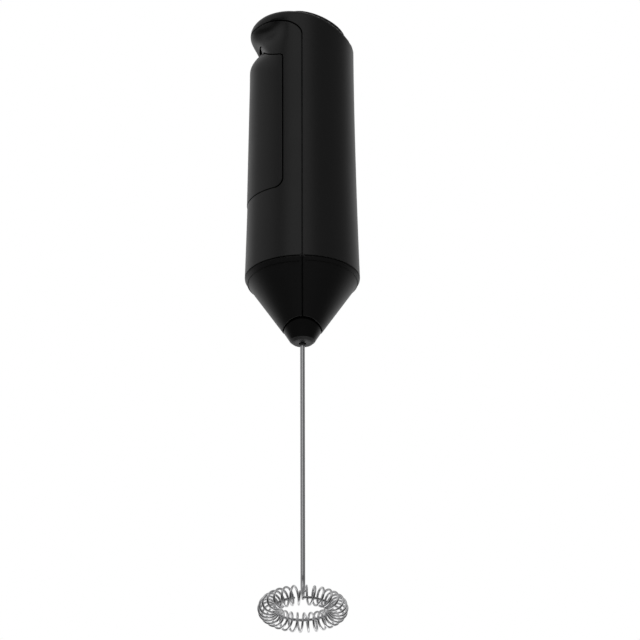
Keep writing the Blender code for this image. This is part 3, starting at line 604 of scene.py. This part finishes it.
# rows are close together at the groove, round the scoop and over the roof's edge
rows = list(np.arange(-18.4, -0.9, 2.0)) + [-0.8] + list(np.arange(-0.5, 0.55, 0.06)) + [0.9]
rows += list(np.arange(2.5, 66.0, 3.0)) + list(np.arange(66.5, 106.0, 0.7))
lattice = grid_points(132, rows)

window = cover_loop()
front = panel("front_shell_skin",
              [grow(seam_loop(True), -0.5 * GAP), grow(window, 0.5 * GAP), slot_loop()],
              lattice, inset_shell, 0.0, shell_mat)
ride(front, "housing", "front_shell")

rear = panel("rear_shell_skin",
             [grow(seam_loop(False), -0.5 * GAP), button_loop(BUTTON_R + 0.3)],
             lattice, inset_shell, 0.0, shell_mat, wall=ROOF_WALL)
ride(rear, "housing", "rear_shell")


def band(name, loop, half_w, depth, thick, mat):
    """A strip under a parting line, which closes the view into the body."""
    pts = resample(loop, inset_shell, 1.2)
    verts = []
    for side in (-half_w, half_w):
        at = grow(pts, side)
        p, n, _, _ = frame_at(at[:, 0], at[:, 1], inset_shell)
        verts += [p - n * depth, p - n * (depth + thick)]
    m = len(pts)
    faces = []
    for i in range(m):
        j = (i + 1) % m
        for c, d in ((0, 2), (2, 3), (3, 1), (1, 0)):
            faces.append((c * m + i, d * m + i, d * m + j, c * m + j))
    obj = make_mesh(name, np.vstack(verts) * MM, faces, None, [mat])
    bm = bmesh.new()
    bm.from_mesh(obj.data)
    bmesh.ops.recalc_face_normals(bm, faces=bm.faces)
    for f in bm.faces:
        f.smooth = False
    bm.to_mesh(obj.data)
    bm.free()
    return obj


lip = band("seam_lip", seam_loop(True), 1.3, 1.85, 0.4, shell_mat)
ride(lip, "housing", None)

cover = panel("battery_cover_skin", [grow(window, -0.5 * GAP)], lattice, inset_cover,
              COVER_PROUD, cover_mat)
ride(cover, "cover", "battery_cover")

# two hooks at the cover's lower edge, which reach behind the front shell
HOOK_A, HOOK_HALF = 0.42, 0.12      # angle from the front and half its width, radians
HOOK_Z, HOOK_T, HOOK_ROUND, HOOK_PLAY = 25.9, 1.5, 0.2, 0.3


def cover_hook(name, at):
    """A hook with a root that joins the cover's wall; at is its angle from the front."""
    r, z = float(grip_r(HOOK_Z)) - WALL - HOOK_PLAY, HOOK_Z
    outline = [(r - HOOK_T, z - 2.0), (r, z - 2.0), (r, z + 0.6), (r + 0.9, z + 0.6),
               (r + 0.9, z + 2.3), (r, z + 2.6), (r - HOOK_T, z + 2.6)]
    bm = bmesh.new()
    rings = []
    for a in np.linspace(at - HOOK_HALF, at + HOOK_HALF, 5):
        rings.append([bm.verts.new((-q * math.cos(a), -q * math.sin(a), h)) for q, h in outline])
    m = len(outline)
    for one, two in zip(rings, rings[1:]):
        for i in range(m):
            j = (i + 1) % m
            bm.faces.new((one[i], one[j], two[j], two[i]))
    bm.faces.new(rings[0])
    bm.faces.new(rings[-1])
    bmesh.ops.recalc_face_normals(bm, faces=bm.faces)
    sharp = [e for e in bm.edges if e.calc_face_angle(0) > 0.5]
    bmesh.ops.bevel(bm, geom=sharp, offset=HOOK_ROUND, segments=3, affect="EDGES", profile=0.5)
    ride(from_bmesh(name, bm, cover_mat), "cover", None)


cover_hook("cover_hook_a", -HOOK_A)
cover_hook("cover_hook_b", HOOK_A)


# ------------------------------------------------------------------ turned and drawn pieces
def fillet(pts, radii, n=5):
    """Corners of a closed outline replaced by arcs; the outline is (r, z) pairs."""
    out = []
    for i, p in enumerate(pts):
        p = np.array(p, float)
        before, after = np.array(pts[i - 1], float), np.array(pts[(i + 1) % len(pts)], float)
        u, v = before - p, after - p
        lu, lv = np.linalg.norm(u), np.linalg.norm(v)
        u, v = u / lu, v / lv
        half = 0.5 * math.acos(max(-1.0, min(1.0, float(u @ v))))
        cut = min(radii[i] / math.tan(half), 0.45 * lu, 0.45 * lv) if radii[i] > 0 else 0.0
        if cut == 0.0:
            out += [p] * n
            continue
        a, b = p + u * cut, p + v * cut
        for s in np.linspace(0, 1, n):
            out.append((1 - s) ** 2 * a + 2 * s * (1 - s) * p + s * s * b)
    return out


def turned(name, outlines, mat, place=None):
    """A closed piece turned about an axis; one outline of (r, z) for each angle."""
    bm = bmesh.new()
    m = len(outlines)
    cols = []
    for i, outline in enumerate(outlines):
        a = 2 * math.pi * i / m
        cols.append([bm.verts.new((r * math.cos(a), r * math.sin(a), z)) for r, z in outline])
    n = len(cols[0])
    for i in range(m):
        a, b = cols[i], cols[(i + 1) % m]
        for k in range(n):
            j = (k + 1) % n
            bm.faces.new((a[k], b[k], b[j], a[j]))
    bmesh.ops.remove_doubles(bm, verts=bm.verts, dist=1e-4)
    bmesh.ops.dissolve_degenerate(bm, edges=bm.edges, dist=1e-5)
    bmesh.ops.recalc_face_normals(bm, faces=bm.faces)
    if place is not None:
        bmesh.ops.transform(bm, matrix=place, verts=bm.verts)
    return from_bmesh(name, bm, mat, SHARP)


def drawn(name, path, radii, sides, mat):
    """A round wire of changing radius along a path, with rounded ends."""
    pts = np.array(path)
    d = np.gradient(pts, axis=0)
    d /= np.linalg.norm(d, axis=1, keepdims=True)
    up = np.cross(d[0], [0.3, 1.0, 0.2])
    rings = []
    order = [(0, 0.25, -0.9), (0, 0.75, -0.55), (0, 1.0, 0.0)]
    order += [(i, 1.0, 0.0) for i in range(1, len(pts) - 1)]
    order += [(-1, 1.0, 0.0), (-1, 0.75, 0.55), (-1, 0.25, 0.9)]
    turn = 2 * math.pi * np.arange(sides) / sides
    for i, k, push_out in order:
        up = up - d[i] * (up @ d[i])
        up /= np.linalg.norm(up)
        side = np.cross(d[i], up)
        ring = pts[i] + d[i] * push_out * radii[i]
        round_it = np.outer(np.cos(turn), up) + np.outer(np.sin(turn), side)
        rings.append(ring + radii[i] * k * round_it)
    verts = np.vstack(rings)
    faces = []
    for k in range(len(rings) - 1):
        for i in range(sides):
            j = (i + 1) % sides
            faces.append((k * sides + i, k * sides + j,
                          (k + 1) * sides + j, (k + 1) * sides + i))
    faces.append(tuple(range(sides))[::-1])
    faces.append(tuple(range((len(rings) - 1) * sides, len(rings) * sides)))
    return make_mesh(name, verts * MM, faces, None, [mat])


# push button
button_at = Matrix.Translation(tuple(BUTTON_O)) @ Matrix.Rotation(BUTTON_TILT, 4, "Y")
stem = (BUTTON_O[2] - DECK_Z - LEAF_ROOM) / math.cos(BUTTON_TILT)
dome = [(0.0, BUTTON_TOP)] + [(BUTTON_R * t, BUTTON_TOP - 0.5 * t * t) for t in (0.3, 0.6, 0.85)]
# the dome, then the side, the flange, the hollow inside and the stem
outline = dome + [(BUTTON_R, BUTTON_TOP - 0.7), (BUTTON_R, BUTTON_SKIRT),
                  (BUTTON_R + FLANGE_W, BUTTON_SKIRT), (BUTTON_R + FLANGE_W, BUTTON_SKIRT - 0.8),
                  (BUTTON_R - 1.2, BUTTON_SKIRT - 0.8), (BUTTON_R - 1.2, BUTTON_TOP - 2.4),
                  (STEM_R, BUTTON_TOP - 2.2), (STEM_R, -stem + 1.2), (0.0, -stem)]
radii = [0, 6, 6, 6, 0.8, 0.2, 0.1, 0.1, 0.2, 0.4, 0.4, 1.0, 0]
button = turned("button_cap", [fillet(outline, radii, 6)] * 120, button_mat, button_at)
ride(button, "button", "power_button")


# nose collar
def collar_outline(a):
    """Outline at one angle: oval where the collar fills the mouth, round at its end."""
    oval = 1.0 / math.hypot(math.cos(a) / (MOUTH_X - COLLAR_GAP_X),
                            math.sin(a) / (MOUTH_Y - COLLAR_GAP_Y))
    meet = COLLAR_EDGE_Z + (oval - COLLAR_EDGE_R) / COLLAR_SLOPE
    pts = [(FLANGE_R, FLANGE_TOP), (FLANGE_R, FLANGE_LOW), (oval, FLANGE_LOW), (oval, meet),
           (COLLAR_EDGE_R, COLLAR_EDGE_Z), (NOSE_FLAT_R + 0.6, NOSE_Z + 0.18),
           (NOSE_FLAT_R, NOSE_Z), (BORE, NOSE_Z), (BORE, NOSE_Z + 3.2),
           (SOCKET_R, NOSE_Z + 4.4), (SOCKET_R, FLANGE_TOP)]
    return fillet(pts, [0.1, 0.1, 0.1, 0.15, 0.12, 0.5, 0.5, 0.1, 0.1, 0.1, 0.1], 6)


collar = turned("nose_collar_turned", [collar_outline(2 * math.pi * i / 96) for i in range(96)],
                collar_mat)
collar.data.materials.append(tip_painted_light_mat)
collar.data.materials.append(gap_painted_shade_mat)
# the end is a lighter grey, painted light standing in for light from below; the upright wall
# inside the mouth is near-black and dull, painted shade in the gap round the collar
for face in collar.data.polygons:
    out = math.hypot(face.normal.x, face.normal.y)
    # faces of the end get the painted-light grey
    if face.center.z / MM < COLLAR_EDGE_Z:
        face.material_index = 1
    # upright faces of the wall inside the mouth get the painted shade
    elif abs(face.normal.z) < 0.2 and out > 0.9:
        face.material_index = 2
ride(collar, "housing", "nose_collar")

# rod, tapering into the ring that carries the coil
rod_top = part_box("whisk_rod")[1].z / MM
path = [(0, 0, z) for z in np.linspace(rod_top, WHISK_Z + 12, 40)[:-1]]
radii = [ROD_R] * len(path)
bend = [(0, 16), (0, 12), (0, 8), (-1.8, 4.0), (-5.6, 1.2)]      # (y, height above the ring)
knots = [np.array((0, y, WHISK_Z + up), float) for y, up in bend]
knots += [np.array((RING_R * math.cos(a), RING_R * math.sin(a), WHISK_Z))
          for a in (RING_START, RING_START + 0.35)]
for k in range(1, len(knots) - 2):
    p0, p1, p2, p3 = knots[k - 1:k + 3]
    for i in range(12):
        t = i / 12
        path.append(0.5 * (2 * p1 + (p2 - p0) * t + (2 * p0 - 5 * p1 + 4 * p2 - p3) * t ** 2
                           + (3 * p1 - p0 - 3 * p2 + p3) * t ** 3))
        radii.append(ROD_R + (RING_WIRE_R - ROD_R) * float(smooth((k - 2 + t) / 2)))
for a in np.linspace(RING_START, RING_END, 120):
    path.append((RING_R * math.cos(a), RING_R * math.sin(a), WHISK_Z))
    radii.append(RING_WIRE_R)
rod = drawn("whisk_rod_drawn", path, radii, 20, steel_mat)
ride(rod, "rotor", "whisk_rod")

t = np.linspace(0, 1, COIL_TURNS * 26 + 1)
a = rad(-90) + COIL_GAP + (2 * math.pi - 2 * COIL_GAP) * t
w = 2 * math.pi * COIL_TURNS * t
r = COIL_RING_R + COIL_R * np.cos(w)
path = np.stack([r * np.cos(a), r * np.sin(a), WHISK_Z + COIL_R * np.sin(w)], -1)
coil = drawn("whisk_coil_drawn", path, [COIL_WIRE_R] * len(path), 10, wire_mat)
ride(coil, "rotor", "whisk_coil")

# ------------------------------------------------------------------ finishes on the CAD nodes
for name, mat in CARRIED.items():
    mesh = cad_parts[name].data
    mesh.materials.clear()
    mesh.materials.append(mat)

# ------------------------------------------------------------------ room, light and camera
FLOOR_R, FLOOR_Z, FLOOR_GLOW = 30.0, -3.0, 0.65      # metres, metres, brightness
corners = [(x * FLOOR_R, y * FLOOR_R, FLOOR_Z) for x, y in ((-1, -1), (1, -1), (1, 1), (-1, 1))]
floor = make_mesh("floor", corners, [(0, 1, 2, 3)])
floor_mat = finish_mat("floor_paint", (0.85, 0.85, 0.85), 0.8, grain=300.0, vary=0.01)
floor_sh = floor_mat.node_tree.nodes["Principled BSDF"]
floor_sh.inputs["Emission Color"].default_value = (1, 1, 1, 1)
floor_sh.inputs["Emission Strength"].default_value = FLOOR_GLOW
floor.data.materials.append(floor_mat)
floor.visible_glossy = False
floor.visible_diffuse = False

world = bpy.data.worlds.new("studio")
bpy.context.scene.world = world
world.use_nodes = True
wt = world.node_tree
sky = wt.nodes["Background"]
coord = node(wt, "ShaderNodeTexCoord")
split = node(wt, "ShaderNodeSeparateXYZ")
wt.links.new(coord.outputs["Generated"], split.inputs["Vector"])


def world_ramp(axis, steps):
    """Brightness of the surroundings along one direction, from (direction, level) steps."""
    spread = node(wt, "ShaderNodeMapRange")
    spread.inputs["From Min"].default_value = -1.0
    wt.links.new(split.outputs[axis], spread.inputs["Value"])
    ramp = node(wt, "ShaderNodeValToRGB")
    els = ramp.color_ramp.elements
    for k, (at, level) in enumerate(steps):
        el = els[k] if k < 2 else els.new(0.5 + 0.5 * at)
        el.position, el.color = 0.5 + 0.5 * at, (level, level, level, 1)
    wt.links.new(spread.outputs["Result"], ramp.inputs["Fac"])
    return ramp


depth_ramp = world_ramp("Y", WORLD_Y)
height_ramp = world_ramp("Z", WORLD_Z)
total = node(wt, "ShaderNodeVectorMath")
total.operation = "ADD"
wt.links.new(depth_ramp.outputs["Color"], total.inputs[0])
wt.links.new(height_ramp.outputs["Color"], total.inputs[1])
wt.links.new(total.outputs["Vector"], sky.inputs["Color"])
# the camera itself sees a plain white backdrop
plain = node(wt, "ShaderNodeBackground", Color=(1, 1, 1, 1), Strength=1.0)
seen = node(wt, "ShaderNodeLightPath")
mix = node(wt, "ShaderNodeMixShader")
wt.links.new(seen.outputs["Is Camera Ray"], mix.inputs["Fac"])
wt.links.new(sky.outputs["Background"], mix.inputs[1])
wt.links.new(plain.outputs["Background"], mix.inputs[2])
wt.links.new(mix.outputs["Shader"], wt.nodes["World Output"].inputs["Surface"])


def softbox(name, azimuth, elevation, dist, width, height, level):
    """A soft light aimed at the grip; azimuth 0 is the camera's side, positive to its right."""
    data = bpy.data.lights.new(name, "AREA")
    data.shape = "RECTANGLE"
    data.size, data.size_y = width, height
    data.energy = level * math.pi * width * height
    obj = bpy.data.objects.new(name, data)
    bpy.context.scene.collection.objects.link(obj)
    az, el = rad(azimuth), rad(elevation)
    out = Vector((math.sin(az) * math.cos(el), -math.cos(az) * math.cos(el), math.sin(el)))
    obj.location = out * dist
    obj.rotation_euler = out.to_track_quat("Z", "Y").to_euler()
    obj.visible_camera = False


for light in LIGHTS:
    softbox(*light)

bpy.context.scene.view_settings.view_transform = "Standard"

aim = (Vector((1, 0, 0)) * AIM_RIGHT
       - Vector((0, -math.sin(PITCH), math.cos(PITCH))) * AIM_DOWN) * MM
toward = Vector((0, math.cos(PITCH), math.sin(PITCH)))
cam_data = bpy.data.cameras.new("camera")
cam = bpy.data.objects.new("camera", cam_data)
bpy.context.scene.collection.objects.link(cam)
cam.matrix_world = (Matrix.Translation(aim - toward * FAR)
                    @ Matrix.Rotation(0.5 * math.pi + PITCH, 4, "X")
                    @ Matrix.Rotation(ROLL, 4, "Z"))
cam_data.sensor_width = SENSOR
cam_data.lens = LENS
cam_data.clip_end = 50.0
bpy.context.scene.camera = cam
